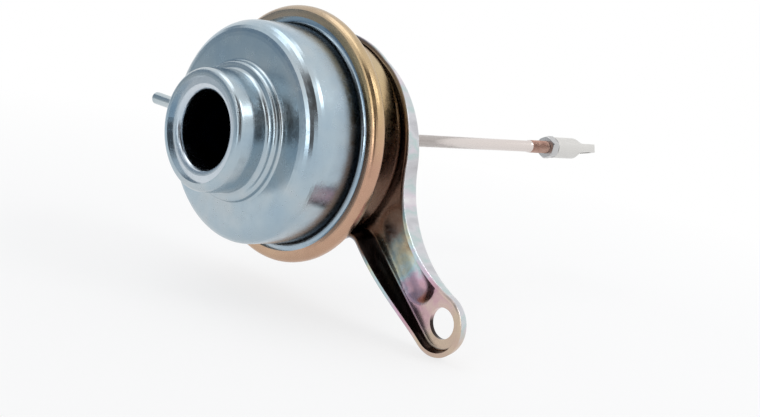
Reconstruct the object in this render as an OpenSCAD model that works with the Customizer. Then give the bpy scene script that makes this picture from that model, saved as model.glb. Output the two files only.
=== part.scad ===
// Vacuum wastegate actuator: two pressed cans crimped together round a rolling
// diaphragm, a return spring, a sliding rod and a stamped tray bracket.
// The rod slides along X and leaves the can toward +X. +Z is up. The origin is the
// middle of the mounting hole; the parts are drawn round the rod axis, from the
// plane of the crimped rim, and then moved there.

/* [Cans] */
// Outside radius of the front can wall
can_r = 35.65; // [34:0.05:38]
// Width of the crimped rim outside that wall
rim_over = 6.35; // [5.95:0.05:7.35]
// Distance from the rim plane to the front face
can_depth = 23.2; // [22:0.1:26]
// Outside bend radius of the front shoulder
shoulder_r = 5.5; // [3:0.5:7]
// How far the lower can wall lies inside the front can wall
lower_inset = 1.65; // [1.25:0.05:2.05]
// Distance from the rim plane to the lower can floor
lower_depth = 18.6; // [18:0.1:21]
// Sheet thickness of both cans
sheet_t = 1.2; // [1:0.05:1.3]
// Gap between the front can wall and the end of the crimped lip
lip_gap = 2.55; // [2.15:0.05:2.95]
// Outside bend radius of the crimped rim
rim_bend = 2.6; // [2.2:0.1:2.8]

/* [Neck] */
// Outside radius of the neck
neck_r = 19.5; // [19:0.1:20.2]
// Length of the neck in front of the front face
neck_len = 14.1; // [13:0.1:16]
// Amount by which the neck swells between its ends
neck_swell = 0.35; // [0.1:0.05:0.5]
// Radius of the hole in the neck mouth
mouth_r = 16.6; // [16.2:0.1:16.9]
// Outside radius of the low step at the foot of the neck
step_r = 22.2; // [21.8:0.1:24]
// Height of that step over the front face
step_h = 2.6; // [2.5:0.1:3.2]

/* [Guide cup] */
// Bore radius of the blind guide cup
cup_bore_r = 12.3; // [11.8:0.1:12.5]
// Sheet thickness of the guide cup
cup_t = 1; // [0.8:0.1:1.1]

/* [Hose nipple] */
// Outside radius of the nipple tube
nipple_r = 2.1; // [1.8:0.1:2.6]
// Bore radius of the nipple tube
nipple_bore_r = 1.3; // [0.8:0.1:1.5]
// Distance of the nipple axis in front of the rim plane
nipple_back = 15; // [11:0.5:16]
// Length of the nipple outside the can wall
nipple_len = 19.35; // [12:0.05:26]
// Angle of the nipple round the rod axis, from +Y toward +Z
nipple_angle = -1.5; // [-30:0.5:30]

/* [Diaphragm and piston] */
// Travel of the rod from rest to the stop
stroke = 12; // [8:0.5:12]
// Rubber thickness of the diaphragm
rubber_t = 1; // [0.8:0.1:1.2]
// Thickness of the clamped bead
bead_t = 2.2; // [2:0.1:2.4]
// Gap between the piston and the front can wall, in which the diaphragm rolls
roll_gap = 5.85; // [5.45:0.05:6.6]
// Length of the piston skirt
skirt_len = 15.4; // [12:0.2:16]
// Thickness of the piston cup, the backing plate and the washers
plate_t = 1.2; // [1:0.1:1.3]
// How far the backing plate lies inside the piston cup's outside
plate_inset = 1.8; // [1.6:0.1:3.6]
// Height of the rubber stop ring on the lower can floor
bump_h = 3.6; // [3.4:0.1:4]
// Gap between the backing plate and the stop ring at rest
rest_gap = 0.2; // [0.1:0.05:0.4]
// Radial width of the stop ring
bump_w = 4; // [3:0.5:5]
// Radial gap between the guide collar and the stop ring
bump_gap = 4; // [3:0.5:5]

/* [Spring] */
// Wire diameter
wire_d = 2.4; // [2:0.1:2.6]
// Mean radius of the coil
coil_r = 15.9; // [15.8:0.1:16]
// Number of turns
turns = 7; // [5:0.5:8]

/* [Rod] */
// Shank diameter
rod_d = 4.4; // [4.2:0.05:4.6]
// Thread diameter
thread_d = 5; // [4.8:0.1:5.2]
// Distance from the rim plane to the start of the thread
thread_start = 126; // [110:1:130]
// Distance from the rim plane to the lock nut face that meets the rod end
nut_seat = 140.7; // [136:0.5:150]
// Radial play of a thread or a hole on the rod
play = 0.05; // [0.03:0.01:0.08]

/* [Lock nut and rod end] */
// Width across flats of the nut
nut_flats = 8; // [7.6:0.1:9]
// Height of the nut
nut_h = 4; // [3:0.1:5]
// Radius of the rod end bar
end_r = 4.2; // [4:0.1:5]
// Length of the round part of the rod end
end_len = 13.6; // [12:0.2:16]
// Distance from the round part to the pin hole
eye_len = 9.4; // [8:0.2:12]
// Thickness of the flat tongue
tongue_t = 3.2; // [2.6:0.1:4]
// Diameter of the pin hole in the tongue
pin_d = 5; // [4:0.1:5.4]
// Roll of the tongue round the rod axis
tongue_roll = -20; // [-90:5:90]

/* [Bracket] */
// Sheet thickness of the bracket
bracket_t = 1.6; // [1.4:0.1:1.8]
// Angle of the arm round the rod axis, from +Y toward +Z
arm_angle = 214; // [180:1:270]
// Distance of the mounting hole from the rod axis
eye_u = 78; // [74:0.5:90]
// Outside radius of the arm end round the mounting hole
eye_r = 10.1; // [9.6:0.1:12]
// Diameter of the mounting hole
eye_d = 10; // [8:0.1:11]
// How far the tray stands out over the lower can wall
tray_over = 1.3; // [1.3:0.1:2]
// How much larger the radius of the wide side is than that of the tray
lobe_over = 0.8; // [0.5:0.1:1.7]
// Shift of the wide side along the arm
lobe_u = 6.3; // [5:0.1:8]
// Radius of the hollow between the wide side and the arm
waist_r = 40; // [34:1:48]
// Radius of the corner between the arm and the narrow side
corner_r = 6; // [4:0.5:8]
// Taper of the straight edge of the arm
edge_taper = 3.8; // [2:0.1:6]
// Flange height at its highest
flange_h = 8.4; // [7:0.1:9]
// Flange height behind the can
back_flange_h = 2.5; // [2.4:0.1:3.2]
// Flange height round the mounting hole
eye_flange_h = 4.4; // [3.4:0.1:6]
// Outside radius of the bend between web and flange
tray_bend = 2.4; // [2.2:0.1:2.8]
// Outward lean of the flange
flange_lean = 12; // [8:1:15]
// Depth of the pressed trough in the arm
trough_depth = 2; // [1:0.1:2.4]
// Radius of the round bottom of the trough
trough_r = 10; // [8:0.5:11]
// Distance of the trough's start from the tray
trough_start = 5.7; // [5:0.1:8]
// Distance of the trough's end from the round arm end
trough_end = 4.9; // [4:0.1:7]
// Distance of the trough's start from the middle of the arm
trough_shift = 4.6; // [3:0.1:5]
// Distance of the highest flange from the tray
high_gap = 10.7; // [8:0.1:14]

/* [Guide collar] */
// Outside radius of the collar boss
boss_r = 6.5; // [6.2:0.1:7.5]
// Length of the collar boss behind the bracket
boss_len = 6.8; // [6:0.2:9]
// Radius of the collar flange
collar_flange_r = 9.5; // [8.5:0.1:11]
// Outside radius of the rod bush
bush_r = 4; // [3.6:0.1:4.2]

/* [Hidden] */

// Crimp stack, centred on the rim plane: lip, front flange, bead, lower flange
rim_r = can_r + rim_over;
lip_r = can_r + lip_gap;
stack_half = (3 * sheet_t + bead_t) / 2;
flange_x = -stack_half + sheet_t;
bead_x = flange_x + sheet_t;
flange_end_r = rim_r - rim_bend;
foot_bend = 1.6;

// Front can and neck
face_x = -can_depth;
mouth_x = face_x - neck_len;
step_x = face_x - step_h;
mouth_bend = 2;
step_bend = 1.3;
neck_foot_bend = min(0.92 * (step_r - neck_r + neck_swell - step_bend),
                     (neck_len - step_h) / 2 - 1.5);
step_foot_bend = 0.9;
wall_in_r = can_r - sheet_t;
nipple_reach = can_r + nipple_len;
nipple_inside = 1.2;
nipple_tip = 0.5;
nipple_foot_r = nipple_r + 1.3;

// Lower can and web of the bracket
lower_r = can_r - lower_inset;
floor_bend = 3.2;
lower_foot_bend = 1.8;
web_x = lower_depth;
web_back = web_x + bracket_t;
floor_x = lower_depth - sheet_t;
spigot_r = boss_r - 0.5;
spigot_play = 0.1;
vent_r = 1.5;
vent_circle_r = 20;

// Moving stack at rest, from the stop ring toward the front
piston_r = wall_in_r - roll_gap;
plate_r = piston_r - plate_inset;
plate_x = floor_x - bump_h - rest_gap - plate_t;
rubber_x = plate_x - rubber_t;
piston_x = rubber_x - plate_t;
washer_x = piston_x - plate_t;
head_h = 1.5;
head_x = washer_x - head_h;
stop_gap = 0.2;
cup_end_x = head_x - stroke - stop_gap;

// Rod
rod_r = rod_d / 2;
thread_r = thread_d / 2;
neck_hole_r = thread_r + 0.1;
collar_x = plate_x + 2 * plate_t;
collar_h = 1.5;
collar_r = bush_r - 0.1;
end_x = nut_seat;
thread_depth = 10;
rod_tip_x = end_x + thread_depth;
hole_end_x = rod_tip_x + 1;
pin_x = end_x + end_len + eye_len;
mill_x = end_x + end_len;
mill_bend = 3;

// Guide cup and spring
cup_x = mouth_x + sheet_t;
cup_edge_bend = 2;
cup_floor_bend = 2.5;
cup_flange_r = neck_r - neck_swell - mouth_bend - 0.05;
seat_x = cup_x + cup_t;
seat_t = 1;
spring_x = seat_x + seat_t;
spring_len = piston_x - spring_x;

// Guide collar and what it holds
collar_lip_x = floor_x - 1;
collar_flange_t = 1.8;
boss_end_x = web_back + boss_len;
bush_x = floor_x + 0.2;
wiper_len = 2.5;
wiper_x = boss_end_x - wiper_len;
wiper_r = bush_r + 1;
cap_t = 0.6;
cap_len = 4;

// Arm coordinates: u runs along the arm, v across it
tray_r = lower_r + tray_over;
lobe_r = tray_r + lobe_over;
high_u = tray_r + high_gap;
eye_c = [eye_u, 0];
lobe_c = [lobe_u, 0];
trough_from = [tray_r + trough_start, -trough_shift];
trough_to = [eye_u - eye_r - trough_end, -0.3];
trough_seam = 0.02;
edge_break = 0.25;

// The row's origin: the middle of the mounting hole
origin = [web_x + bracket_t / 2, eye_u * cos(arm_angle), eye_u * sin(arm_angle)];

// Plain geometry

function unit(v) = v / norm(v);
function at(c, r, a) = c + r * [cos(a), sin(a)];
function angle_of(v) = atan2(v.y, v.x);
function turn(a, b) = let (q = b - a) q > 180 ? q - 360 : q < -180 ? q + 360 : q;

// Points of an arc of n steps
function arc(c, r, a0, a1, n) = [for (i = [0 : n]) at(c, r, a0 + (a1 - a0) * i / n)];

// A corner p between a and b, rounded with radius r
function bend(a, p, b, r, n) =
    let (u = unit(a - p), w = unit(b - p), half = acos(u * w) / 2,
         c = p + unit(u + w) * r / sin(half),
         s = p + u * r / tan(half) - c, e = p + w * r / tan(half) - c)
    arc(c, r, angle_of(s), angle_of(s) + turn(angle_of(s), angle_of(e)), n);

function xy(k) = [k[0], k[1]];

// A run of corners [x, radius, bend radius], with every bend rounded
function run(k, n = 7) =
    [for (i = [0 : len(k) - 1])
        each (len(k[i]) < 3 ? [xy(k[i])]
                            : bend(xy(k[i - 1]), xy(k[i]), xy(k[i + 1]), k[i][2], n))];

function side(a, b) = let (d = unit(b - a)) [-d.y, d.x];

// The same run, moved sideways by t
function beside(q, t) =
    [for (i = [0 : len(q) - 1])
        let (m = side(q[max(i - 1, 0)], q[max(i, 1)])
               + side(q[min(i, len(q) - 2)], q[min(i + 1, len(q) - 1)]))
        q[i] + m * 2 * t / (m * m)];

function back_to_front(q) = [for (i = [len(q) - 1 : -1 : 0]) q[i]];

// Section of a pressed sheet of thickness t along a run of corners
function sheet(k, t) = let (q = run(k)) concat(q, back_to_front(beside(q, t)));

// Turns a section of [x, radius] points round the rod axis
module turned(points) {
    rotate([90, 0, 90])
        rotate_extrude($fn = 96)
            polygon([for (p = points) [p[1], p[0]]]);
}

// A round bar, hole or ring along the rod axis
module bar(x0, x1, r, r_end = undef) {
    translate([x0, 0, 0])
        rotate([0, 90, 0])
            cylinder(h = x1 - x0, r1 = r, r2 = is_undef(r_end) ? r : r_end, $fn = 96);
}

module ring(x0, x1, r_in, r_out) {
    difference() {
        bar(x0, x1, r_out);
        bar(x0 - 1, x1 + 1, r_in);
    }
}

// Moves what is drawn round the rod axis into the row's frame
module placed() {
    translate(-origin)
        children();
}

// Places what is drawn in arm coordinates, with height along X
module on_arm() {
    rotate([arm_angle, 0, 0])
        rotate([90, 0, 90])
            children();
}

module along_nipple() {
    rotate([nipple_angle, 0, 0])
        translate([-nipple_back, 0, 0])
            rotate([-90, 0, 0])
                children();
}

// Cans

module front_can() {
    neck_end_r = neck_r - neck_swell;
    color([0.66, 0.72, 0.78])
    placed()
    difference() {
        turned(sheet([
            [mouth_x, mouth_r],
            [mouth_x, neck_end_r, mouth_bend],
            [(mouth_x + step_x) / 2, neck_r, 12],
            [step_x, neck_end_r, neck_foot_bend],
            [step_x, step_r, step_bend],
            [face_x, step_r, step_foot_bend],
            [face_x, can_r, shoulder_r],
            [flange_x, can_r, foot_bend],
            [flange_x, flange_end_r]
        ], -sheet_t));
        along_nipple()
            cylinder(h = can_r + 5, r = nipple_r + play, $fn = 48);
    }
}

module lower_can() {
    color([0.80, 0.70, 0.58])
    placed()
    difference() {
        turned(sheet([
            [lower_depth, spigot_r + spigot_play],
            [lower_depth, lower_r, floor_bend],
            [stack_half, lower_r, lower_foot_bend],
            [stack_half, rim_r, rim_bend],
            [-stack_half, rim_r, rim_bend],
            [-stack_half, lip_r]
        ], sheet_t));
        vents();
    }
}

// Two breather holes through the lower can floor and the bracket web
module vents() {
    on_arm()
        for (v = [-vent_circle_r, vent_circle_r])
            translate([0, v, floor_x - 1])
                cylinder(h = web_back - floor_x + 2, r = vent_r, $fn = 32);
}

module guide_cup() {
    color([0.62, 0.68, 0.74])
    placed()
    turned(sheet([
        [cup_x, cup_flange_r],
        [cup_x, cup_bore_r, cup_edge_bend],
        [cup_end_x - cup_t, cup_bore_r, cup_floor_bend],
        [cup_end_x - cup_t, 0]
    ], cup_t));
}

module hose_nipple() {
    color([0.70, 0.75, 0.78])
    placed()
    difference() {
        along_nipple()
            union() {
                translate([0, 0, wall_in_r - nipple_inside])
                    cylinder(h = nipple_reach - wall_in_r + nipple_inside - nipple_tip,
                             r = nipple_r, $fn = 64);
                translate([0, 0, nipple_reach - nipple_tip])
                    cylinder(h = nipple_tip, r1 = nipple_r, r2 = nipple_r - 0.35, $fn = 64);
                translate([0, 0, can_r - 1])
                    cylinder(h = 2.2, r = nipple_foot_r, $fn = 64);
            }
        along_nipple()
            cylinder(h = nipple_reach + 1, r = nipple_bore_r, $fn = 48);
        // The foot seats on the round of the can wall
        difference() {
            bar(-nipple_back - 2 * nipple_foot_r, -nipple_back + 2 * nipple_foot_r, can_r + play);
            along_nipple()
                cylinder(h = can_r + 1, r = nipple_r, $fn = 64);
        }
    }
}

// Bracket

// Centre of the hollow that touches the wide side and the arm end
function waist_c() =
    let (d = norm(eye_c - lobe_c), a = lobe_r + waist_r, b = eye_r + waist_r,
         q = acos((a * a + d * d - b * b) / (2 * a * d)))
    at(lobe_c, a, -q);

// Centre of the corner that touches the straight edge and the can side
function corner_c() =
    let (k = tan(edge_taper), w = (eye_r + corner_r) / cos(edge_taper) - k * eye_u,
         a = 1 + k * k, b = 2 * k * w, c = w * w - pow(tray_r + corner_r, 2),
         u = (sqrt(b * b - 4 * a * c) - b) / (2 * a))
    [u, w + k * u];

// Place along the arm of the kink where the round of the can meets the wide side
function kink_u() = (lobe_u * lobe_u + tray_r * tray_r - lobe_r * lobe_r) / (2 * lobe_u);

// An arc without its last point, where the next arc starts
function most(c, r, a0, a1, n) = [for (i = [0 : n - 1]) at(c, r, a0 + (a1 - a0) * i / n)];

// Outline of the bracket, moved inward by d. It always has the same number of points.
function outline(d) =
    let (wc = waist_c(), cc = corner_c(), edge = 90 + edge_taper,
         kink = [kink_u(), -sqrt(pow(tray_r, 2) - pow(kink_u(), 2))])
    concat(
        most(eye_c, eye_r - d, angle_of(wc - eye_c), edge, 24),
        [for (k = [0 : 3]) eye_c + (eye_r - d) * [cos(edge), sin(edge)]
            + (cc - eye_c - (eye_r + corner_r) * [cos(edge), sin(edge)]) * k / 4],
        most(cc, corner_r + d, edge - 180, angle_of(-cc), 8),
        most([0, 0], tray_r - d, angle_of(cc), angle_of(kink) + 360, 46),
        most(lobe_c, lobe_r - d, angle_of(kink - lobe_c), angle_of(wc - lobe_c), 16),
        most(wc, waist_r + d, angle_of(lobe_c - wc), angle_of(eye_c - wc), 18));

// Flange height at a place along the arm
function flange_at(u) =
    let (low = u < high_u ? back_flange_h : eye_flange_h,
         end = u < high_u ? kink_u() : eye_u,
         s = max((u - end) / (high_u - end), 0))
    low + (flange_h - low) * pow(sin(90 * s), 1.3);

// Section of the pressed edge with flange height h, as [inset, height over the web back]:
// inner bend, inner wall, free edge, outer wall, outer bend
function edge_section(h) =
    let (b = min(tray_bend, h - 0.4), a = 90 - flange_lean,
         w = [-sin(flange_lean), cos(flange_lean)], m = [w.y, -w.x],
         foot = [b - b * sin(a), b - b * cos(a)],
         rim = foot + w * (h - foot.y) / w.y, top = rim + m * bracket_t,
         curve = function (r, q) [b - r * sin(q), b - r * cos(q)])
    concat(
        [for (i = [0 : 4]) curve(b - bracket_t, a * i / 4)],
        [top - w * edge_break, top - m * edge_break],
        [rim + m * edge_break, rim - w * edge_break],
        [for (i = [4 : -1 : 0]) curve(b, a * i / 4)]);

// Web and flange in one piece: the section follows the outline, and its height changes
module tray() {
    outer = outline(0);
    inward = outline(1) - outer;
    sections = [for (p = outer) edge_section(flange_at(p.x))];
    n = len(outer);
    m = len(sections[0]);
    // Each flat side fans out from two hubs, the middle of the tray and the middle of the eye
    hub = [for (p = outer) m * n + (p.x > waist_c().x ? 1 : 0)];
    cap = [for (i = [0 : n - 1])
        let (k = (i + 1) % n)
        each [[i, k, hub[i]], if (hub[i] != hub[k]) [k, hub[k], hub[i]]]];
    polyhedron(
        points = concat(
            [for (j = [0 : m - 1], i = [0 : n - 1])
                let (p = outer[i] + inward[i] * sections[i][j].x)
                [p.x, p.y, -sections[i][j].y]],
            [for (z = [-bracket_t, 0], c = [[0, 0], eye_c]) [c.x, c.y, z]]),
        faces = concat(
            cap,
            [for (j = [0 : m - 2], i = [0 : n - 1])
                let (k = (i + 1) % n)
                each [[j * n + k, j * n + i, (j + 1) * n + i],
                      [(j + 1) * n + k, j * n + k, (j + 1) * n + i]]],
            [for (f = cap) [for (c = [2 : -1 : 0]) f[c] < m * n ? f[c] + (m - 1) * n : f[c] + 2]]));
}

// Round-bottomed trough along the arm with round ends, below the height given
module trough(grow, below) {
    r = trough_r + grow;
    run = trough_to - trough_from;
    intersection() {
        translate([trough_from.x, trough_from.y, trough_depth - bracket_t - trough_r])
            rotate([0, 0, angle_of(run)])
                union() {
                    rotate([0, 90, 0])
                        cylinder(h = norm(run), r = r, $fn = 96);
                    sphere(r = r - trough_seam, $fn = 96);
                    translate([norm(run), 0, 0])
                        sphere(r = r - trough_seam, $fn = 96);
                }
        translate([0, -tray_r, below])
            cube([eye_u, 2 * tray_r, 2 * trough_r]);
    }
}

module bracket() {
    color([0.78, 0.74, 0.80])
    placed()
        difference() {
            on_arm()
                translate([0, 0, web_back])
                    difference() {
                        union() {
                            tray();
                            trough(bracket_t, -bracket_t / 2);
                        }
                        trough(0, -bracket_t - 0.2);
                    }
            on_arm()
                translate([eye_u, 0, web_x - 1])
                    cylinder(h = bracket_t + 2, r = eye_d / 2, $fn = 64);
            bar(web_x - 1, web_back + 1, spigot_r + spigot_play);
            vents();
        }
}

// Rod guide

module guide_collar() {
    color([0.72, 0.70, 0.66])
    placed()
    difference() {
        union() {
            bar(collar_lip_x, floor_x, spigot_r + 1);
            bar(floor_x - 0.1, web_back + 0.1, spigot_r);
            bar(web_back, web_back + collar_flange_t, collar_flange_r);
            bar(web_back + 1, boss_end_x, boss_r);
        }
        bar(collar_lip_x - 1, boss_end_x + 1, bush_r);
        bar(wiper_x, boss_end_x + 1, wiper_r);
    }
}

module rod_bush() {
    color([0.86, 0.84, 0.78])
    placed()
    ring(bush_x, wiper_x - 0.1, rod_r + play, bush_r);
}

module rod_wiper() {
    color([0.12, 0.12, 0.12])
    placed()
    ring(wiper_x, boss_end_x, rod_r + play, wiper_r);
}

module wiper_cap() {
    color([0.74, 0.72, 0.70])
    placed()
    difference() {
        bar(boss_end_x - cap_len, boss_end_x + cap_t, boss_r + cap_t);
        bar(boss_end_x - cap_len - 1, boss_end_x, boss_r);
        bar(boss_end_x - 1, boss_end_x + cap_t + 1, rod_r + 0.6);
    }
}

module stop_ring() {
    color([0.10, 0.10, 0.10])
    placed()
    ring(floor_x - bump_h, floor_x, spigot_r + bump_gap, spigot_r + bump_gap + bump_w);
}

// Diaphragm group

module diaphragm() {
    roll_in_r = piston_r + 0.15;
    roll_out_r = wall_in_r - 0.2;
    roll_r = (roll_out_r - roll_in_r) / 2;
    roll_x = flange_x - 2.8 - roll_r;
    color([0.08, 0.08, 0.09])
    placed()
    union() {
        turned(sheet([
            [rubber_x, neck_hole_r],
            [rubber_x, roll_in_r, 3.1],
            [roll_x, roll_in_r, roll_r - 0.02],
            [roll_x, roll_out_r, roll_r - 0.02],
            [bead_x, roll_out_r, 3],
            [bead_x, flange_end_r]
        ], -rubber_t));
        ring(bead_x, bead_x + bead_t, flange_end_r - 2, flange_end_r);
    }
}

module piston_cup() {
    color([0.70, 0.70, 0.72])
    placed()
    turned(sheet([
        [rubber_x, neck_hole_r],
        [rubber_x, piston_r, 3],
        [rubber_x - skirt_len, piston_r]
    ], plate_t));
}

module backing_plate() {
    curl = 1.8;
    color([0.68, 0.68, 0.70])
    placed()
    turned(sheet([
        [plate_x, neck_hole_r],
        [plate_x, plate_r - curl, 2.5],
        [plate_x + curl, plate_r]
    ], -plate_t));
}

module head_washer() {
    color([0.74, 0.74, 0.75])
    placed()
    ring(washer_x, piston_x, neck_hole_r, 7);
}

module rod_washer() {
    color([0.74, 0.74, 0.75])
    placed()
    ring(plate_x + plate_t, collar_x, neck_hole_r, 6.5);
}

module spring_seat() {
    color([0.30, 0.30, 0.32])
    placed()
    ring(seat_x, spring_x, cup_bore_r + cup_edge_bend + 0.1, neck_r - neck_swell - sheet_t - 0.3);
}

// Height of the wire centre after a number of turns, with one closed turn at each end
function coil_x(q) =
    let (pitch = (spring_len - 3 * wire_d) / (turns - 2))
    spring_x + wire_d / 2 + (q < 1 ? wire_d * q
        : q > turns - 1 ? wire_d + pitch * (turns - 2) + wire_d * (q - turns + 1)
        : wire_d + pitch * (q - 1));

module spring() {
    steps = 16;
    sides = 8;
    rings = turns * steps;
    color([0.45, 0.46, 0.48])
    placed()
    polyhedron(
        points = [for (i = [0 : rings], j = [0 : sides - 1])
            let (q = i / steps, a = 360 * q, b = 360 * j / sides,
                 r = coil_r + wire_d / 2 * cos(b))
            [coil_x(q) + wire_d / 2 * sin(b), r * cos(a), r * sin(a)]],
        faces = concat(
            [[for (j = [0 : sides - 1]) j]],
            [for (i = [0 : rings - 1], j = [0 : sides - 1])
                let (k = (j + 1) % sides)
                each [[i * sides + k, i * sides + j, (i + 1) * sides + j],
                      [i * sides + k, (i + 1) * sides + j, (i + 1) * sides + k]]],
            [[for (j = [sides - 1 : -1 : 0]) rings * sides + j]]));
}

// Rod group

module rod() {
    color([0.76, 0.72, 0.70])
    placed()
    turned([
        [head_x, 0],
        [head_x, 2.6],
        [head_x + 0.7, 3.7],
        [washer_x, 4],
        [washer_x, thread_r],
        [collar_x, thread_r],
        [collar_x, collar_r],
        [collar_x + collar_h, collar_r],
        [collar_x + collar_h, rod_r],
        [thread_start - 1, rod_r],
        [thread_start, thread_r],
        [rod_tip_x - 0.6, thread_r],
        [rod_tip_x, thread_r - 0.6],
        [rod_tip_x, 0]
    ]);
}

module lock_nut() {
    corner = nut_flats / 2 / cos(30);
    color([0.66, 0.66, 0.68])
    placed()
    difference() {
        intersection() {
            translate([nut_seat - nut_h, 0, 0])
                rotate([0, 90, 0])
                    cylinder(h = nut_h, r = corner, $fn = 6);
            union() {
                bar(nut_seat - nut_h, nut_seat - nut_h + 0.6, corner - 0.6, corner + 0.1);
                bar(nut_seat - nut_h + 0.6, nut_seat - 0.6, corner + 0.1);
                bar(nut_seat - 0.6, nut_seat, corner + 0.1, corner - 0.6);
            }
        }
        bar(nut_seat - nut_h - 1, nut_seat + 1, thread_r + play);
    }
}

// One of the two flats milled on the bar end, with a round root
module flat_cut() {
    rotate([90, 0, 0])
        translate([0, 0, -2 * end_r])
            linear_extrude(4 * end_r)
                polygon(run([
                    [mill_x, 2 * end_r],
                    [mill_x, tongue_t / 2, mill_bend],
                    [pin_x + 2 * end_r, tongue_t / 2],
                    [pin_x + 2 * end_r, 2 * end_r]
                ]));
}

module rod_end() {
    color([0.74, 0.74, 0.74])
    placed()
    rotate([tongue_roll, 0, 0])
        difference() {
            intersection() {
                bar(end_x, pin_x + end_r, end_r);
                union() {
                    translate([end_x, -end_r, -end_r])
                        cube([pin_x - end_x, 2 * end_r, 2 * end_r]);
                    translate([pin_x, 0, -end_r])
                        cylinder(h = 2 * end_r, r = end_r, $fn = 96);
                }
            }
            flat_cut();
            mirror([0, 0, 1])
                flat_cut();
            bar(end_x - 1, hole_end_x, thread_r + play);
            translate([pin_x, 0, -end_r])
                cylinder(h = 2 * end_r, r = pin_d / 2, $fn = 64);
        }
}

front_can();
lower_can();
guide_cup();
hose_nipple();
bracket();
guide_collar();
rod_bush();
rod_wiper();
wiper_cap();
stop_ring();
diaphragm();
piston_cup();
backing_plate();
spring();
spring_seat();
rod();
head_washer();
rod_washer();
lock_nut();
rod_end();
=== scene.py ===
# %% [markdown]
# # A vacuum actuator for a turbocharger wastegate
#
# This lesson dresses a finished CAD model. The model gives every piece its real size and place, so
# the work here is what a camera sees: plated steel, rolled threads, and the light on them.
# The first cell loads the model as a fixed frame. Sizes are in metres, unless a comment says
# millimetres.

# %% Load the frame
import math

import bpy
import bmesh
from mathutils import Matrix, Vector
from mathutils.geometry import delaunay_2d_cdt


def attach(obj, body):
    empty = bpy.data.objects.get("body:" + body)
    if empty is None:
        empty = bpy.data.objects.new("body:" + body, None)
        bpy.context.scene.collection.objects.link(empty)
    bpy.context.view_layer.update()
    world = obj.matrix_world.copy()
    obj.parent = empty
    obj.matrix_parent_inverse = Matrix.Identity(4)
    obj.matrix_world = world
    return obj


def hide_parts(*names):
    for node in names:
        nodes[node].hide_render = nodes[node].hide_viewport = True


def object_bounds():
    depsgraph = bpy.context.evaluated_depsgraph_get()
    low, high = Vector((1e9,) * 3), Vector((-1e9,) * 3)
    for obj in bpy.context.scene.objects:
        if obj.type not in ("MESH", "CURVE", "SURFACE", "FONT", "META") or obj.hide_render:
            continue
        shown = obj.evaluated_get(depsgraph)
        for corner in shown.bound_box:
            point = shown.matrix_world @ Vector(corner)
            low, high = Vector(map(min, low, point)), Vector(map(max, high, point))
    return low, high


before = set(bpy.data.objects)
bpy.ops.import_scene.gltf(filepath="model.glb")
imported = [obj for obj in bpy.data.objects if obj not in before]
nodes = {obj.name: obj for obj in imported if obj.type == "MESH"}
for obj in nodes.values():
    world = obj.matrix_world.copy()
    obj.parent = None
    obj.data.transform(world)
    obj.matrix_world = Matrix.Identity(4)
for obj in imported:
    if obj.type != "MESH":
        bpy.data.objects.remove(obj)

cad_low, cad_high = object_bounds()
print(len(nodes), "nodes, overall", [round(1000 * k, 1) for k in cad_high - cad_low], "mm")

# %% [markdown]
# ## Where things are
#
# The origin is the middle of the bracket's mounting hole. Almost everything else turns round the
# rod's axis, so two numbers are worth a name: where that axis passes, and where the plane of the
# crimped rim lies along it. `spot(x, r, a)` then reads like a drawing of a turned part: so far
# along the axis, so far out, at such an angle.

# %% The rod axis
MM = 0.001
ARM_ANGLE = math.radians(214)
EYE_REACH = 78 * MM
RIM_X = -19.4 * MM
AXIS = Vector((0, -EYE_REACH * math.cos(ARM_ANGLE), -EYE_REACH * math.sin(ARM_ANGLE)))


def spot(x, r=0.0, a=0.0):
    """The point x and r millimetres along and off the rod axis, at angle a from +Y toward +Z."""
    side = Vector((0, math.cos(a), math.sin(a)))
    return AXIS + Vector((RIM_X + x * MM, 0, 0)) + side * r * MM


print("rod axis at y, z =", [round(1000 * k, 2) for k in AXIS[1:]], "mm")

# %% [markdown]
# ## The camera
#
# The picture was taken from in front of the neck, a little to the left and above. The three rows
# are the picture's right, down and forward directions in the part's frame. A camera in Blender
# looks along its own -Z with +Y up, so its axes are right, minus down and minus forward. The focal
# length is given in pixels of a picture that is 760 wide, because that is how it was measured.

# %% Camera
RIGHT = Vector((0.70058863, -0.68472655, 0.20081117))
DOWN = Vector((-0.00275644, -0.28401427, -0.95881609))
FORWARD = Vector((0.71356007, 0.67118213, -0.20086457))
LENS_TO_RIM = Vector((-0.029352, -0.024358, 0.425775))
SENSOR, FOCAL_PIXELS, PICTURE_WIDTH = 36, 1300, 760

rim_centre = spot(0)
eye_point = rim_centre - RIGHT * LENS_TO_RIM.x - DOWN * LENS_TO_RIM.y - FORWARD * LENS_TO_RIM.z
camera = bpy.data.objects.new("camera", bpy.data.cameras.new("camera"))
camera.data.sensor_width = SENSOR
camera.data.lens = SENSOR * FOCAL_PIXELS / PICTURE_WIDTH
turn = Matrix((RIGHT, -DOWN, -FORWARD)).transposed()
camera.matrix_world = Matrix.Translation(eye_point) @ turn.to_4x4()
bpy.context.scene.collection.objects.link(camera)
bpy.context.scene.camera = camera
bpy.context.scene.view_settings.view_transform = "Standard"
print("camera", [round(k, 3) for k in eye_point], "lens", round(camera.data.lens, 1))

# %% [markdown]
# ## Floor and surroundings
#
# Bright metal shows its surroundings more than itself. In a plain white room it would turn flat
# white, so product photographers set grey and dark cards round it. The room here is white to the
# camera and to the metal, and the cards stand outside the picture. A few small helpers add shader
# nodes and set their values by name, which keeps the materials below short enough to read.

# %% Node helpers
def node(tree, kind, at=(0, 0), **values):
    """Adds a node, and sets its properties or its input sockets by name."""
    n = tree.nodes.new(kind)
    n.location = at
    for key, value in values.items():
        name = key.replace("_", " ")
        if hasattr(n, key):
            setattr(n, key, value)
        else:
            socket = next(s for s in n.inputs if s.name.lower() == name.lower())
            socket.default_value = value
    return n


def wire(tree, *pairs):
    """Links sockets, given as (from, to) pairs."""
    for a, b in pairs:
        tree.links.new(a, b)


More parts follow.
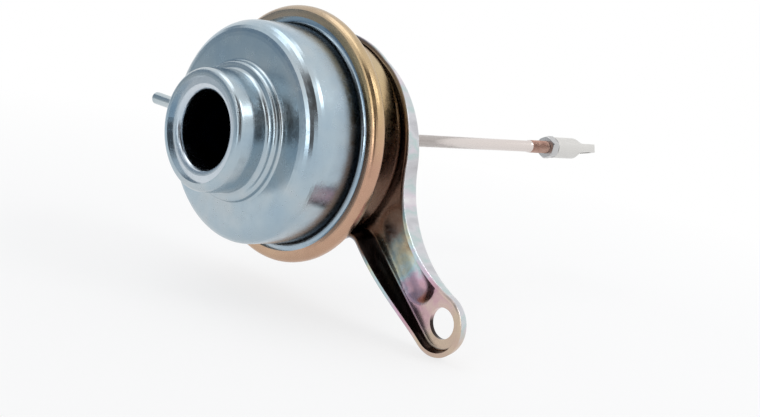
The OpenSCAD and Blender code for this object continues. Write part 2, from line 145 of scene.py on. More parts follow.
def ramp(tree, stops, at=(0, 0)):
    """A colour ramp with stops [(place, (r, g, b)), ...]."""
    n = node(tree, "ShaderNodeValToRGB", at)
    row = n.color_ramp.elements
    while len(row) < len(stops):
        row.new(0.5)
    for e, (place, colour) in zip(row, stops):
        e.position = place
        e.color = (*colour, 1)
    return n


def rescaled(tree, value, low, high, at, to=(0, 1)):
    """A value between low and high, brought to lie between the two ends of `to`."""
    n = node(tree, "ShaderNodeMapRange", at)
    n.inputs["From Min"].default_value, n.inputs["From Max"].default_value = low, high
    n.inputs["To Min"].default_value, n.inputs["To Max"].default_value = to
    tree.links.new(value, n.inputs["Value"])
    return n.outputs["Result"]


def seen_rays(tree, at):
    """1 for a ray from the camera, a mirror or glass, which see the background, and 0 for light."""
    rays = node(tree, "ShaderNodeLightPath", at)
    first = node(tree, "ShaderNodeMath", (at[0] + 200, at[1]), operation="MAXIMUM")
    both = node(tree, "ShaderNodeMath", (at[0] + 400, at[1]), operation="MAXIMUM")
    wire(tree, (rays.outputs["Is Camera Ray"], first.inputs[0]),
         (rays.outputs["Is Glossy Ray"], first.inputs[1]), (first.outputs[0], both.inputs[0]),
         (rays.outputs["Is Transmission Ray"], both.inputs[1]))
    return both.outputs[0]


print("helpers ready")

# %% World
world = bpy.data.worlds.new("studio")
bpy.context.scene.world = world
world.use_nodes = True
sky = world.node_tree
sky.nodes.clear()
soft_light = node(sky, "ShaderNodeBackground", (0, -100), Color=(0.93, 0.96, 1, 1), Strength=0.8)
white_room = node(sky, "ShaderNodeBackground", (0, 100), Color=(1, 1, 1, 1), Strength=1)
choose = node(sky, "ShaderNodeMixShader", (250, 0))
out = node(sky, "ShaderNodeOutputWorld", (450, 0))
wire(sky, (seen_rays(sky, (-500, 300)), choose.inputs["Fac"]),
     (soft_light.outputs[0], choose.inputs[1]), (white_room.outputs[0], choose.inputs[2]),
     (choose.outputs[0], out.inputs["Surface"]))
print("world made")

# %% [markdown]
# ## White paper
#
# The floor is white paper. Most of what the camera sees of it is plain white, and a share is real
# diffuse light, so a faint shadow stays under the can. That share fades out with distance, and the
# paper runs into the white room without an edge.

# %% Floor
def aimed(place, way, front="Z"):
    """A matrix that stands an object at a place, with its front along a direction."""
    return Matrix.Translation(place) @ Vector(way).to_track_quat(front, "Y").to_matrix().to_4x4()


def plane(name, centre, size, facing):
    """A rectangle whose front faces a direction."""
    mesh = bpy.data.meshes.new(name)
    w, h = size[0] / 2, size[1] / 2
    mesh.from_pydata([(-w, -h, 0), (w, -h, 0), (w, h, 0), (-w, h, 0)], [], [(0, 1, 2, 3)])
    o = bpy.data.objects.new(name, mesh)
    o.matrix_world = aimed(centre, facing)
    bpy.context.scene.collection.objects.link(o)
    return o


FLOOR_GAP = 0.3 * MM
FADE_FROM, FADE_TO = 0.16, 0.40
WHITE_SHARE = (0.72, 1.0)

floor = plane("floor", Vector((0.0, 0.0, cad_low.z - FLOOR_GAP)), (8, 8), (0, 0, 1))
paper = bpy.data.materials.new("floor_paper")
paper.use_nodes = True
pt = paper.node_tree
pt.nodes.clear()
lit_paper = node(pt, "ShaderNodeBsdfDiffuse", (0, -100), Color=(0.93, 0.92, 0.915, 1))
white_paper = node(pt, "ShaderNodeEmission", (0, 100), Color=(1, 1, 1, 1), Strength=1)
where = node(pt, "ShaderNodeTexCoord", (-900, -200))
far = node(pt, "ShaderNodeVectorMath", (-700, -200), operation="LENGTH")
fade = rescaled(pt, far.outputs["Value"], FADE_FROM, FADE_TO, (-500, -200), WHITE_SHARE)
share = node(pt, "ShaderNodeMath", (-200, 0), operation="MULTIPLY")
mix_paper = node(pt, "ShaderNodeMixShader", (250, 0))
paper_out = node(pt, "ShaderNodeOutputMaterial", (450, 0))
wire(pt, (where.outputs["Object"], far.inputs[0]), (fade, share.inputs[0]),
     (seen_rays(pt, (-900, 300)), share.inputs[1]), (share.outputs[0], mix_paper.inputs["Fac"]),
     (lit_paper.outputs[0], mix_paper.inputs[1]), (white_paper.outputs[0], mix_paper.inputs[2]),
     (mix_paper.outputs[0], paper_out.inputs["Surface"]))
floor.data.materials.append(paper)
print("floor at z =", round(1000 * floor.location.z, 1), "mm")

# %% [markdown]
# ## Grey and dark cards
#
# The cards glow a little instead of being lit, because then their grey is a number that can be set
# and not a guess about lamps. They are hidden from the camera, and show only as the dark and grey
# bands in the metal. Cards and lamps are all aimed at the middle of the can.

# %% Cards
TARGET = spot(-10)


def card(name, way, distance, size, low, high, lift=0.0):
    """A card that faces the can and shades from one grey at its foot to another at its top."""
    centre = TARGET + Vector(way).normalized() * distance + Vector((0, 0, lift))
    o = plane(name, centre, size, TARGET - centre)
    o.visible_camera = False
    o.visible_shadow = False
    m = bpy.data.materials.new(name)
    m.use_nodes = True
    t = m.node_tree
    t.nodes.clear()
    place = node(t, "ShaderNodeTexCoord", (-500, 0))
    split = node(t, "ShaderNodeSeparateXYZ", (-300, 0))
    shade = ramp(t, [(0, low), (1, high)], (-100, 0))
    glow = node(t, "ShaderNodeEmission", (200, 0), Strength=1)
    end = node(t, "ShaderNodeOutputMaterial", (400, 0))
    wire(t, (place.outputs["Generated"], split.inputs[0]), (split.outputs["Y"], shade.inputs["Fac"]),
         (shade.outputs["Color"], glow.inputs["Color"]), (glow.outputs[0], end.inputs["Surface"]))
    o.data.materials.append(m)
    return o


cards = [
    card("photographer_card", -FORWARD, 0.62, (0.46, 1.0),
         low=(0.15, 0.12, 0.11), high=(0.08, 0.065, 0.06), lift=0.12),
    card("left_card", (-0.71, 0.67, 0), 0.34, (0.62, 0.30),
         low=(0.52, 0.56, 0.58), high=(0.20, 0.27, 0.35), lift=0.06),
    card("upper_card", (-0.42, -0.58, 0.70), 0.60, (0.50, 0.44),
         low=(0.12, 0.10, 0.09), high=(0.10, 0.09, 0.09)),
]
print("cards outside the picture:", [o.name for o in cards])

# %% [markdown]
# ## Lamps
#
# Three soft boxes light the can: a tall strip at the left, which draws the long white line on the
# neck and the shoulder, a square key lamp at the upper right, and a weak wide one overhead. The
# brightness is that of the lamp's face, so it stays the same when a lamp changes its size.

# %% Soft boxes
def softbox(name, way, distance, size, brightness):
    """A rectangular lamp that looks at the can, as bright as given where the metal mirrors it."""
    lamp = bpy.data.lights.new(name, "AREA")
    lamp.shape = "RECTANGLE"
    lamp.size, lamp.size_y = size
    lamp.energy = brightness * math.pi * size[0] * size[1]
    o = bpy.data.objects.new(name, lamp)
    place = TARGET + Vector(way).normalized() * distance
    o.matrix_world = aimed(place, TARGET - place, "-Z")
    bpy.context.scene.collection.objects.link(o)
    return o


softbox("strip_left", (-0.93, -0.35, 0.35), 0.8, (0.13, 0.70), 3.2)
softbox("key_right", (0.35, -0.60, 0.72), 0.9, (0.34, 0.34), 3.0)
softbox("top_box", (-0.1, 0.25, 1.0), 1.1, (0.7, 0.7), 1.3)

# %% [markdown]
# ## Plated steel
#
# Zinc plating is a thin bright metal with a faint colour from its passivation. Up close it is not
# even: the tone drifts over centimetres, and the drawn sheet under it has a fine grain. One
# function makes such a finish from three noises: a slow one for the colour, a finer one for the
# roughness and a very fine one for the grain that catches the light. A noise seldom leaves the
# middle of its range, so the tones are spread over that middle.

# %% A plated finish
NOISE_LOW, NOISE_HIGH = 0.30, 0.70
GRAIN = 1800


def spread(*colours):
    """Ramp stops for two or more colours, evenly spaced over the middle of a noise's range."""
    step = (NOISE_HIGH - NOISE_LOW) / (len(colours) - 1)
    return [(NOISE_LOW + step * i, colour) for i, colour in enumerate(colours)]


def plated(name, stops, rough=(0.16, 0.30), drift=40, depth=0.02, stretch=(1, 1, 1)):
    """Bright metal whose colour drifts through the stops, with a grain of a depth in millimetres."""
    m = bpy.data.materials.new(name)
    m.use_nodes = True
    t = m.node_tree
    shader = t.nodes["Principled BSDF"]
    shader.inputs["Metallic"].default_value = 1
    place = node(t, "ShaderNodeTexCoord", (-1200, 0))
    scale = node(t, "ShaderNodeMapping", (-1000, 0))
    scale.inputs["Scale"].default_value = stretch
    slow = node(t, "ShaderNodeTexNoise", (-750, 200), Scale=drift, Detail=3, Roughness=0.55)
    mid = node(t, "ShaderNodeTexNoise", (-750, -50), Scale=drift * 9, Detail=5, Roughness=0.6)
    fine = node(t, "ShaderNodeTexNoise", (-750, -300), Scale=GRAIN, Detail=3, Roughness=0.6)
    tone = ramp(t, stops, (-500, 200))
    gloss = rescaled(t, mid.outputs["Fac"], NOISE_LOW, NOISE_HIGH, (-500, -50), rough)
    relief = node(t, "ShaderNodeBump", (-300, -300), Strength=0.35, Distance=depth * MM)
    wire(t, (place.outputs["Object"], scale.inputs["Vector"]),
         (scale.outputs["Vector"], slow.inputs["Vector"]),
         (scale.outputs["Vector"], mid.inputs["Vector"]),
         (scale.outputs["Vector"], fine.inputs["Vector"]),
         (slow.outputs["Fac"], tone.inputs["Fac"]),
         (fine.outputs["Fac"], relief.inputs["Height"]),
         (tone.outputs["Color"], shader.inputs["Base Color"]),
         (gloss, shader.inputs["Roughness"]),
         (relief.outputs["Normal"], shader.inputs["Normal"]))
    return m


# %% Plain platings
dark_zinc = plated("dark_zinc", spread((0.30, 0.34, 0.38), (0.42, 0.46, 0.50)), rough=(0.35, 0.5))
bright_zinc = plated("bright_zinc", spread((0.44, 0.52, 0.56), (0.60, 0.64, 0.66)))
rod_steel = plated("rod_steel", spread((0.62, 0.55, 0.52), (0.74, 0.68, 0.65)), stretch=(0.1, 1, 1))
nut_steel = plated("nut_steel", spread((0.42, 0.42, 0.43), (0.60, 0.60, 0.60)), rough=(0.22, 0.38))
end_steel = plated("end_steel", spread((0.60, 0.59, 0.57), (0.72, 0.71, 0.69)), rough=(0.28, 0.42))
print("plain platings made")

# %% [markdown]
# ## Rubber, polymer and spring steel
#
# The pieces inside are hardly seen, but they are there, and a view from behind or a model taken
# apart shows them. Rubber and polymer are no metals, and have no plating. The drift of their tone
# is made the same way, so their finish is the plated one with its metal switched off.

# %% Finishes of the inner pieces
def moulded(name, stops, rough):
    """Rubber or plastic: the same drift of tone, but no metal."""
    m = plated(name, stops, rough=rough, depth=0.01)
    m.node_tree.nodes["Principled BSDF"].inputs["Metallic"].default_value = 0
    return m


black_rubber = moulded("black_rubber", spread((0.016, 0.016, 0.017), (0.034, 0.034, 0.035)),
                       rough=(0.50, 0.72))
bush_polymer = moulded("bush_polymer", spread((0.10, 0.10, 0.095), (0.17, 0.165, 0.155)),
                       rough=(0.35, 0.50))
spring_steel = plated("spring_steel", spread((0.24, 0.24, 0.25), (0.38, 0.38, 0.38)),
                      rough=(0.25, 0.40))
print("rubber, polymer and spring steel made")

# %% [markdown]
# ## Painted shade and tint that follow the form
#
# The blue front can is painted darker in the groove at the foot of its wall and deep in the guide
# cup: this is painted shade, where the light does not get in. The gold lower can turns from tan at
# the top through gold to a copper pink; that tint is partly its plating's own hue and partly painted
# light, with a darker grey top as painted shade and gold at the upper right as a painted highlight.
# Both are laid over the plain finish: a ramp along the rod axis, or round it, multiplies the tone.

# %% Ramps along and round the axis
def tone_of(m):
    """The node tree, the shader and the socket that now gives the base colour."""
    t = m.node_tree
    shader = t.nodes["Principled BSDF"]
    return t, shader, shader.inputs["Base Color"].links[0].from_socket


def blend(tree, mode, factor, a, b, at=(0, 300)):
    """Mixes two colours. The factor is a number or a socket."""
    n = node(tree, "ShaderNodeMix", at, data_type="RGBA", blend_type=mode)
    if isinstance(factor, float):
        n.inputs[0].default_value = factor
    else:
        tree.links.new(factor, n.inputs[0])
    wire(tree, (a, n.inputs[6]), (b, n.inputs[7]))
    return n.outputs[2]


def along_axis(m, stops, x0, x1):
    """Multiplies the tone by a ramp that runs along the rod axis from x0 to x1 millimetres."""
    t, shader, tone = tone_of(m)
    place = node(t, "ShaderNodeTexCoord", (-1200, 600))
    split = node(t, "ShaderNodeSeparateXYZ", (-1000, 600))
    run = rescaled(t, split.outputs["X"], RIM_X + x0 * MM, RIM_X + x1 * MM, (-800, 600))
    bands = ramp(t, stops, (-600, 600))
    wire(t, (place.outputs["Object"], split.inputs[0]), (run, bands.inputs["Fac"]))
    toned = blend(t, "MULTIPLY", 1.0, tone, bands.outputs["Color"])
    t.links.new(toned, shader.inputs["Base Color"])


def round_axis(m, stops):
    """Multiplies the tone by a ramp that runs once round the rod axis, from -Y through +Z."""
    t, shader, tone = tone_of(m)
    place = node(t, "ShaderNodeTexCoord", (-1400, 900))
    shift = node(t, "ShaderNodeVectorMath", (-1200, 900), operation="SUBTRACT")
    shift.inputs[1].default_value = AXIS
    split = node(t, "ShaderNodeSeparateXYZ", (-1000, 900))
    swap = node(t, "ShaderNodeCombineXYZ", (-800, 900))
    around = node(t, "ShaderNodeTexGradient", (-600, 900), gradient_type="RADIAL")
    bands = ramp(t, stops, (-400, 900))
    wire(t, (place.outputs["Object"], shift.inputs[0]), (shift.outputs["Vector"], split.inputs[0]),
         (split.outputs["Y"], swap.inputs["X"]), (split.outputs["Z"], swap.inputs["Y"]),
         (swap.outputs["Vector"], around.inputs["Vector"]),
         (around.outputs["Fac"], bands.inputs["Fac"]))
    toned = blend(t, "MULTIPLY", 1.0, tone, bands.outputs["Color"])
    t.links.new(toned, shader.inputs["Base Color"])


# %% Blue and gold cans
blue_zinc = plated("blue_zinc", spread((0.34, 0.45, 0.54), (0.42, 0.51, 0.57), (0.52, 0.56, 0.58)))
# The dark stops darken the foot of the wall next to the rim: painted shade in the groove.
along_axis(blue_zinc, [(0.0, (1, 1, 1)), (0.35, (0.85, 0.86, 0.88)), (0.75, (0.22, 0.24, 0.27)),
                       (0.90, (0.10, 0.11, 0.13)), (1.0, (0.9, 0.95, 1))], -14, -1.8)
cup_zinc = plated("cup_zinc", spread((0.50, 0.60, 0.68), (0.66, 0.70, 0.74)))
# The ramp darkens the cup from its mouth inward to almost black: painted shade in the bore.
along_axis(cup_zinc, [(0.0, (1, 1, 1)), (0.12, (0.9, 0.92, 0.95)), (0.30, (0.22, 0.25, 0.30)),
                      (0.6, (0.05, 0.06, 0.09)), (1, (0.035, 0.045, 0.07))], -36.5, -22)
gold_zinc = plated("gold_zinc", spread((0.48, 0.38, 0.30), (0.54, 0.43, 0.34), (0.60, 0.50, 0.39)),
                   rough=(0.2, 0.34))
# Partly own hue, partly painted light: the grey top is painted shade, upper-right gold a painted
# highlight.
round_axis(gold_zinc, [(0.00, (1.0, 0.76, 0.68)), (0.12, (1.0, 0.79, 0.70)),
                       (0.25, (1.0, 0.84, 0.74)), (0.50, (0.90, 0.86, 0.80)),
                       (0.72, (0.86, 0.86, 0.84)), (0.84, (0.98, 0.93, 0.72)),
                       (0.92, (1.0, 0.90, 0.62)), (1.00, (1.0, 0.76, 0.68))])
print("blue and gold zinc made")

# %% [markdown]
# ## The bracket's rainbow
#
# Thicker passivation shows interference colours, like oil on water, and they change with its
# thickness. Along the arm they run from grey at the can, which is painted shade where the web lies
# in the can's shadow, through teal and pink to tan at the eye. The outer side of the flange is
# nearly white, and the inner side is painted almost black, a painted shade and reflection, because
# it mirrors only the shaded tray. The hues are a ramp along the arm, pushed to and fro by noise, and
# two masks made from the surface normal choose between it, the pale tone and the painted dark one.

# %% Arm directions
ALONG_ARM = Vector((0, math.cos(ARM_ANGLE), math.sin(ARM_ANGLE)))
ACROSS_ARM = Vector((0, -math.sin(ARM_ANGLE), math.cos(ARM_ANGLE)))
print("the arm runs along", [round(k, 3) for k in ALONG_ARM])

# %% Rainbow zinc
HUES_FROM, HUES_TO = 0.034, 0.088
HUE_STIR = 0.55
SILVERS = [(0.3, (0.44, 0.44, 0.46)), (0.45, (0.62, 0.62, 0.65)), (0.52, (0.50, 0.60, 0.60)),
           (0.60, (0.66, 0.60, 0.66)), (0.7, (0.76, 0.75, 0.76))]
# The first two stops, dark grey at the can end, are painted shade; the rest are interference hues.
HUES = [(0.00, (0.22, 0.20, 0.20)), (0.14, (0.30, 0.30, 0.31)), (0.24, (0.30, 0.42, 0.44)),
        (0.34, (0.62, 0.60, 0.44)), (0.44, (0.52, 0.68, 0.72)), (0.54, (0.68, 0.46, 0.58)),
        (0.64, (0.58, 0.36, 0.42)), (0.74, (0.66, 0.50, 0.46)), (0.86, (0.62, 0.50, 0.38)),
        (1.00, (0.58, 0.44, 0.36))]
# Painted shade for the flange's inner side, which only mirrors the shaded tray.
PAINTED_SHADE = (0.035, 0.026, 0.024, 1)


def measure(tree, vector, direction, at):
    """How far a vector reaches along a direction."""
    n = node(tree, "ShaderNodeVectorMath", at, operation="DOT_PRODUCT")
    n.inputs[1].default_value = direction
    tree.links.new(vector, n.inputs[0])
    return n.outputs["Value"]


def stirred_hues(t, point, offset):
    """The ramp of hues along the arm, with its place pushed to and fro by noise."""
    along = measure(t, offset, ALONG_ARM, (-1400, 1600))
    reach = rescaled(t, along, HUES_FROM, HUES_TO, (-1200, 1600))
    stir = node(t, "ShaderNodeTexNoise", (-1400, 1800), Scale=95, Detail=4, Roughness=0.6)
    shifted = node(t, "ShaderNodeMath", (-1200, 1800), operation="SUBTRACT")
    shifted.inputs[1].default_value = 0.5
    push = node(t, "ShaderNodeMath", (-1000, 1700), operation="MULTIPLY_ADD")
    push.inputs[1].default_value = HUE_STIR
    hues = ramp(t, HUES, (-800, 1700))
    wire(t, (point, stir.inputs["Vector"]), (stir.outputs["Fac"], shifted.inputs[0]),
         (shifted.outputs[0], push.inputs[0]), (reach, push.inputs[2]),
         (push.outputs[0], hues.inputs["Fac"]))
    return hues.outputs["Color"]


def rainbow(name):
    """Passivated zinc: hues on the web, pale outside the flange and painted shade inside it."""
    m = plated(name, SILVERS, rough=(0.16, 0.28), drift=85, stretch=(0.35, 1, 1))
    t, shader, silver = tone_of(m)
    place = node(t, "ShaderNodeTexCoord", (-1800, 1400))
    offset = node(t, "ShaderNodeVectorMath", (-1600, 1400), operation="SUBTRACT")
    offset.inputs[1].default_value = AXIS
    t.links.new(place.outputs["Object"], offset.inputs[0])
    hues = stirred_hues(t, place.outputs["Object"], offset.outputs["Vector"])
    shape = node(t, "ShaderNodeNewGeometry", (-1800, 1000))
    side = node(t, "ShaderNodeMath", (-1200, 1200), operation="SIGN")
    outward = node(t, "ShaderNodeMath", (-1000, 1100), operation="MULTIPLY")
    wire(t, (measure(t, offset.outputs["Vector"], ACROSS_ARM, (-1400, 1200)), side.inputs[0]),
         (side.outputs[0], outward.inputs[0]),
         (measure(t, shape.outputs["Normal"], ACROSS_ARM, (-1400, 1000)), outward.inputs[1]))
    pale = rescaled(t, outward.outputs[0], 0.25, 0.75, (-800, 1300))
    # Where the normal points inward across the arm, the flange's inner side gets the painted shade.
    dark = rescaled(t, outward.outputs[0], -0.30, -0.70, (-800, 1000))
    painted_shade_colour = node(t, "ShaderNodeRGB", (-400, 1000))
    painted_shade_colour.outputs[0].default_value = PAINTED_SHADE
    tinted = blend(t, "MIX", pale, hues, silver, (-200, 1200))
    shaded = blend(t, "MIX", dark, tinted, painted_shade_colour.outputs[0], (0, 1100))
    t.links.new(shaded, shader.inputs["Base Color"])
    return m


rainbow_zinc = rainbow("rainbow_zinc")
print("rainbow zinc made of", len(HUES), "hues")

# %% [markdown]
# ## The bracket, drawn again for the camera
#
# The bracket is the piece that takes most skill: one stamped sheet whose outline is a run of
# tangent arcs, with a flange that leans out and swells, and a pressed trough in the arm. The CAD
# model has it in facets, and bright plating shows every facet. So its skin is drawn here from the
# same sizes with far more points: first the outline, then the section of the flange carried along
# it, and last the web, filled with a fine grid that is pressed down where the trough is. The press
# leaves no sharp line round a trough, so its edge is rounded, which the facets could not show.
#
# Two circles of the outline are found, not given. The waist touches the wide side of the tray and
# the round arm end, so its centre is a corner of a triangle with three known sides. The corner
# touches the tray and the straight edge, which gives a quadratic equation.

# %% Outline of the bracket, in millimetres along and across the arm
EYE_U, EYE_R, HOLE_R = 78.0, 10.1, 5.0
LOBE_U, LOBE_R, TRAY_R = 6.3, 36.1, 35.3
WAIST_R, CORNER_R, TAPER = 40.0, 6.0, math.radians(3.8)


def on_circle(c, r, a):
    """The point of a circle at an angle."""
    return Vector((c[0] + r * math.cos(a), c[1] + r * math.sin(a)))


def heading(v):
    """The angle of a direction."""
    return math.atan2(v[1], v[0])


def arc(c, r, a0, a1, n):
    """An arc without its last point, where the next arc starts."""
    return [on_circle(c, r, a0 + (a1 - a0) * i / n) for i in range(n)]


eye_c, lobe_c = Vector((EYE_U, 0)), Vector((LOBE_U, 0))
near, far_side, gap = LOBE_R + WAIST_R, EYE_R + WAIST_R, EYE_U - LOBE_U
waist_cosine = (near ** 2 + gap ** 2 - far_side ** 2) / (2 * near * gap)
waist_c = on_circle(lobe_c, near, -math.acos(waist_cosine))
slope = math.tan(TAPER)
lift = (EYE_R + CORNER_R) / math.cos(TAPER) - slope * EYE_U
qa, qb, qc = 1 + slope ** 2, 2 * slope * lift, lift ** 2 - (TRAY_R + CORNER_R) ** 2
corner_u = (math.sqrt(qb ** 2 - 4 * qa * qc) - qb) / (2 * qa)
corner_c = Vector((corner_u, lift + slope * corner_u))
kink_u = (LOBE_U ** 2 + TRAY_R ** 2 - LOBE_R ** 2) / (2 * LOBE_U)
kink = Vector((kink_u, -math.sqrt(TRAY_R ** 2 - kink_u ** 2)))


def outline(d):
    """The bracket's edge, moved inward by d."""
    edge = math.pi / 2 + TAPER
    start = on_circle(eye_c, EYE_R - d, edge)
    end = on_circle(corner_c, -(CORNER_R + d), edge)
    return (arc(eye_c, EYE_R - d, heading(waist_c - eye_c), edge, 60)
            + [start.lerp(end, k / 16) for k in range(16)]
            + arc(corner_c, CORNER_R + d, edge - math.pi, heading(-corner_c), 16)
            + arc((0, 0), TRAY_R - d, heading(corner_c), heading(kink) + 2 * math.pi, 150)
            + arc(lobe_c, LOBE_R - d, heading(kink - lobe_c), heading(waist_c - lobe_c), 44)
            + arc(waist_c, WAIST_R + d, heading(lobe_c - waist_c), heading(eye_c - waist_c), 54))


rim_line = outline(0)
inward = [b - a for a, b in zip(rim_line, outline(1))]
print("outline of", len(rim_line), "points, kink at", round(kink_u, 2), "mm")

# %% [markdown]
# ## The flange
#
# The flange is 2.5 mm high behind the can, swells to 8.4 mm in the hollow and falls to 4.4 mm round
# the eye. Its section is the same everywhere but for that height: a bend, a straight side that
# leans out by 12 degrees, and a cut edge with its corners broken. So one function gives the section
# for a height, and the skin is swept from it.

# %% Section of the flange
SHEET, BEND, LEAN, WEB_BACK = 1.6, 2.4, math.radians(12), 20.2
BACK_HEIGHT, HIGH_HEIGHT, EYE_HEIGHT, HIGH_U = 2.5, 8.4, 4.4, 46
SWELL = 1.3
STRAIGHT_LEAST = 0.4
BROKEN_EDGE, CORNER_CUT = 0.25, 0.3
BEND_STEPS = 9


def flange_height(u):
    """How high the flange is at a distance along the arm."""
    low, end = (BACK_HEIGHT, kink_u) if u < HIGH_U else (EYE_HEIGHT, EYE_U)
    share = max((u - end) / (HIGH_U - end), 0)
    return low + (HIGH_HEIGHT - low) * math.sin(math.pi / 2 * share) ** SWELL


def section(h):
    """Points [inset, height over the web's back]: inner bend, free edge, outer bend."""
    b, a = min(BEND, h - STRAIGHT_LEAST), math.pi / 2 - LEAN
    way = Vector((-math.sin(LEAN), math.cos(LEAN)))
    across = Vector((way.y, -way.x))
    foot = Vector((b - b * math.sin(a), b - b * math.cos(a)))
    rim = foot + way * (h - foot.y) / way.y
    top = rim + across * SHEET

    def curve(r, q):
        return Vector((b - r * math.sin(q), b - r * math.cos(q)))

    edge = BROKEN_EDGE
    return ([curve(b - SHEET, a * i / BEND_STEPS) for i in range(BEND_STEPS + 1)]
            + [top - way * edge, top - (way + across) * edge * CORNER_CUT, top - across * edge]
            + [rim + across * edge, rim - (way - across) * edge * CORNER_CUT, rim - way * edge]
            + [curve(b, a * i / BEND_STEPS) for i in range(BEND_STEPS, -1, -1)])


def arm_point(u, v, height):
    """A point u along and v across the arm, at a height in front of the web's back."""
    forward = Vector((RIM_X + (WEB_BACK - height) * MM, 0, 0))
    return AXIS + (ALONG_ARM * u + ACROSS_ARM * v) * MM + forward


print("flange height at u = 20, 46, 78:", [round(flange_height(u), 2) for u in (20, 46, 78)])

# %% [markdown]
# ## The web and its trough
#
# The web is flat but for the trough, so it is filled in two dimensions first. A constrained
# triangulation takes the web's edge and the holes as lines that it has to keep, and a grid of
# points over the arm, which gives the press something fine to bend. It fills the holes as well, and
# these triangles are taken out again. The trough's depth fades out toward the web's edge, because
# the flange starts there and the two have to meet point by point.

# %% The trough
TROUGH_A, TROUGH_B = Vector((41.0, -4.6)), Vector((63.0, -0.3))
TROUGH_R, TROUGH_DEPTH, SOFT = 10.0, 2.0, 0.5
TROUGH_REACH, TROUGH_FADE = 8.5, 1.5
RISE_FROM, RISE_OVER = -0.45, 0.85


def pressed(u, v):
    """How deep the web is pressed at a place: a round bottom whose edge fades out."""
    p, run = Vector((u, v)), TROUGH_B - TROUGH_A
    along = (p - TROUGH_A).dot(run) / run.dot(run)
    d = (p - TROUGH_A - run * min(max(along, 0), 1)).length
    if d > TROUGH_REACH:
        return 0.0
    start = min(max((along - RISE_FROM) / RISE_OVER, 0), 1)
    h = math.sqrt(max(TROUGH_R ** 2 - d * d, 0)) - (TROUGH_R - TROUGH_DEPTH)
    fade = min(1, (TROUGH_REACH - d) / TROUGH_FADE) * start * start * (3 - 2 * start)
    return fade * 0.5 * (h + math.sqrt(h * h + SOFT * SOFT))


trough_length = (TROUGH_B - TROUGH_A).length
print("trough", round(trough_length, 1), "mm long,", round(pressed(*TROUGH_B), 2), "mm deep")

# %% The web's edge and holes
COLLAR_HOLE_R, VENT_R, VENT_REACH = 6.1, 1.5, 20.0
HOLES = [(EYE_U, 0.0, HOLE_R, 72), (0.0, 0.0, COLLAR_HOLE_R, 72),
         (0.0, VENT_REACH, VENT_R, 28), (0.0, -VENT_REACH, VENT_R, 28)]
web_edge = [p + q * section(flange_height(p.x))[0].x for p, q in zip(rim_line, inward)]
hole_loops = [[on_circle((u, v), r, 2 * math.pi * i / n) for i in range(n)] for u, v, r, n in HOLES]


def to_edge(p):
    """How far a point is from the web's edge."""
    return min((p - q).length for q in web_edge)


def off_edge(p):
    """0 on the web's own edge, where the flange starts, and 1 a little way in."""
    return min(1, to_edge(p) / TROUGH_FADE)


def inside(p, loop):
    """Whether a point lies inside a closed loop."""
    found = False
    for a, b in zip(loop, loop[1:] + loop[:1]):
        if (a.y > p.y) != (b.y > p.y) and p.x < a.x + (p.y - a.y) * (b.x - a.x) / (b.y - a.y):
            found = not found
    return found


print(len(web_edge), "points on the web's edge,", len(hole_loops), "holes")

# %% Fill the web
GRID_U, GRID_V, GRID_STEP = 31, -16, 0.7
GRID_ROWS, GRID_COLUMNS = 61, 44
EDGE_CLEAR, HOLE_CLEAR = 0.5, 0.8

grid = [Vector((GRID_U + GRID_STEP * i, GRID_V + GRID_STEP * j))
        for i in range(GRID_ROWS) for j in range(GRID_COLUMNS)]
grid = [p for p in grid if inside(p, web_edge) and (p - eye_c).length > HOLE_R + HOLE_CLEAR
        and to_edge(p) > EDGE_CLEAR]
points, edges = [], []
for loop in [web_edge] + hole_loops:
    base = len(points)
    points += loop
    edges += [(base + i, base + (i + 1) % len(loop)) for i in range(len(loop))]
points += grid
flat, _, tiles, _, _, _ = delaunay_2d_cdt(points, edges, [], 1, 1e-6)


def in_a_hole(tile):
    """Whether the middle of a triangle lies in one of the holes."""
    middle = sum((flat[k] for k in tile), Vector((0, 0))) / len(tile)
    return any(inside(middle, loop) for loop in hole_loops)


tiles = [tile for tile in tiles if not in_a_hole(tile)]
print("web of", len(tiles), "triangles,", len(grid), "of them grid points")

# %% [markdown]
# ## The skin
#
# The flange's section is set up at every point of the outline, and neighbours are joined by
# four-sided faces. The web comes twice, as the front and the back of the sheet, and the holes get
# walls. The three kinds of face share their borders, so merging points that coincide closes the
# skin, and counting the open edges proves it.

# %% Bracket skin
SEAM = 3e-6


def finished(name, work, finish, angle):
    """Makes an object of what is in a bmesh, smooth where faces meet below an angle."""
    mesh = bpy.data.meshes.new(name)
    work.to_mesh(mesh)
    work.free()
    mesh.shade_smooth()
    mesh.set_sharp_from_angle(angle=math.radians(angle))
    mesh.materials.append(finish)
    o = bpy.data.objects.new(name, mesh)
    bpy.context.scene.collection.objects.link(o)
    return o


def join_loops(work, low, high):
    """Four-sided faces between two closed loops with as many points."""
    for i in range(len(low)):
        k = (i + 1) % len(low)
        work.faces.new((low[i], low[k], high[k], high[i]))


work = bmesh.new()
sections = [section(flange_height(p.x)) for p in rim_line]
sheets = [[work.verts.new(arm_point(*(p + q * row[j].x), row[j].y))
           for p, q, row in zip(rim_line, inward, sections)] for j in range(len(sections[0]))]
for low, high in zip(sheets, sheets[1:]):
    join_loops(work, low, high)
for height in (SHEET, 0.0):
    web = [work.verts.new(arm_point(p.x, p.y, height - pressed(p.x, p.y) * off_edge(p)))
           for p in flat]
    for tile in tiles:
        work.faces.new([web[k] for k in tile])
for loop in hole_loops:
    front, back = [[work.verts.new(arm_point(p.x, p.y, height)) for p in loop]
                   for height in (SHEET, 0.0)]
    join_loops(work, front, back)
bmesh.ops.remove_doubles(work, verts=work.verts, dist=SEAM)
bmesh.ops.recalc_face_normals(work, faces=work.faces)
open_edges = sum(1 for e in work.edges if not e.is_manifold)

bracket_skin = finished("bracket_skin", work, rainbow_zinc, 40)
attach(bracket_skin, "housing")
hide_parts("bracket")
print("bracket skin", len(bracket_skin.data.polygons), "faces,", open_edges, "open edges")

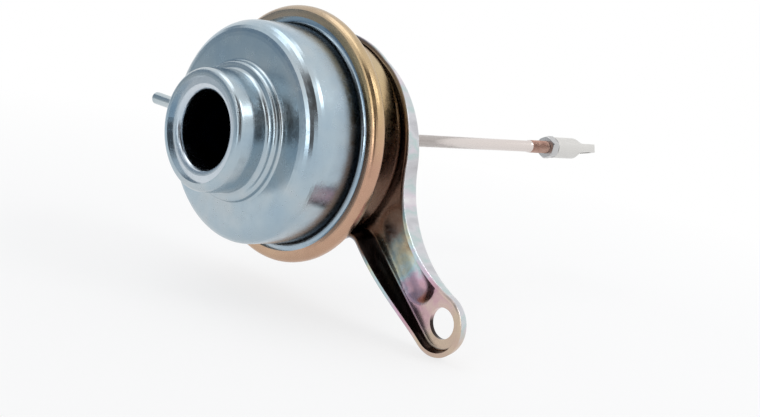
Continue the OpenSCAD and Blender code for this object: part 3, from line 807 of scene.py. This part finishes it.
# %% [markdown]
# ## The rolled thread
#
# The thread is too fine for the CAD model, where it is a plain bar of the crest diameter. Here the
# rod is the same rod with that bar cut away, and a real helix in its place: each point of a lathe
# surface is drawn in by a rounded V that advances one pitch per turn. Rolling leaves the thread a
# red brown where oil has dried in it.

# %% Rod without its plain bar
THREAD_FROM, THREAD_TO = 126.0, 150.0
OVERLAP = 0.2
SAME_POINT = 2e-6


def cut_rod():
    """The CAD rod without the plain bar that stands for its thread."""
    work = bmesh.new()
    work.from_mesh(nodes["rod"].data)
    bmesh.ops.remove_doubles(work, verts=work.verts, dist=SAME_POINT)
    low, high = spot(THREAD_FROM + OVERLAP).x, spot(THREAD_TO - OVERLAP).x
    gone = [f for f in work.faces if low < f.calc_center_median().x < high]
    bmesh.ops.delete(work, geom=gone, context="FACES")
    bmesh.ops.recalc_face_normals(work, faces=work.faces)
    return finished("rod_shank", work, rod_steel, 32)


rod_shank = cut_rod()
print("rod shank", len(rod_shank.data.polygons), "faces")

# %% Thread
PITCH, CREST, ROOT = 0.8, 2.5, 2.12
ROUND_STEPS, ROWS_PER_TURN = 40, 12
VEE = 1.4


def thread(name, finish):
    """A helical thread as a lathe surface whose radius follows the distance from the helix."""
    turns = (THREAD_TO - THREAD_FROM) / PITCH
    rows = int(turns * ROWS_PER_TURN)
    work = bmesh.new()
    loops = []
    for i in range(rows + 1):
        x = THREAD_FROM + (THREAD_TO - THREAD_FROM) * i / rows
        ends = max(min(1.0, (x - THREAD_FROM) / PITCH, (THREAD_TO - x) / PITCH), 0)
        loop = []
        for j in range(ROUND_STEPS):
            dip = 0.5 - 0.5 * math.cos(2 * math.pi * (x / PITCH - j / ROUND_STEPS))
            r = CREST - (CREST - ROOT) * dip ** VEE * ends
            loop.append(work.verts.new(spot(x, r, 2 * math.pi * j / ROUND_STEPS)))
        loops.append(loop)
    for low, high in zip(loops, loops[1:]):
        join_loops(work, low, high)
    bmesh.ops.recalc_face_normals(work, faces=work.faces)
    print("thread of", round(turns), "turns,", len(work.faces), "faces")
    return finished(name, work, finish, 60)


red_browns = spread((0.30, 0.17, 0.14), (0.42, 0.26, 0.21), (0.52, 0.36, 0.30))
thread_steel = plated("thread_steel", red_browns, rough=(0.3, 0.45), drift=200)
rod_thread = thread("rod_thread", thread_steel)
for piece in (rod_shank, rod_thread):
    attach(piece, "pull_rod")
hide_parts("rod")

# %% [markdown]
# ## Every node gets its finish
#
# The nodes keep the meshes of the CAD model, and only their material is set. A table of names is
# easier to check against the real object than a material set here and there. What the table leaves
# out, such as washers, plates and the piston cup, is plain dark zinc.

# %% Dress the nodes
FINISH = {"front_can": blue_zinc, "lower_can": gold_zinc, "guide_cup": cup_zinc,
          "hose_nipple": bright_zinc, "bracket": rainbow_zinc, "guide_collar": gold_zinc,
          "wiper_cap": bright_zinc, "rod": rod_steel, "lock_nut": nut_steel, "rod_end": end_steel,
          "diaphragm": black_rubber, "stop_ring": black_rubber, "rod_wiper": black_rubber,
          "rod_bush": bush_polymer, "spring": spring_steel}
for name, o in nodes.items():
    o.data.materials.clear()
    o.data.materials.append(FINISH.get(name, dark_zinc))
    print(name, len(o.data.polygons), "faces,", o.data.materials[0].name)
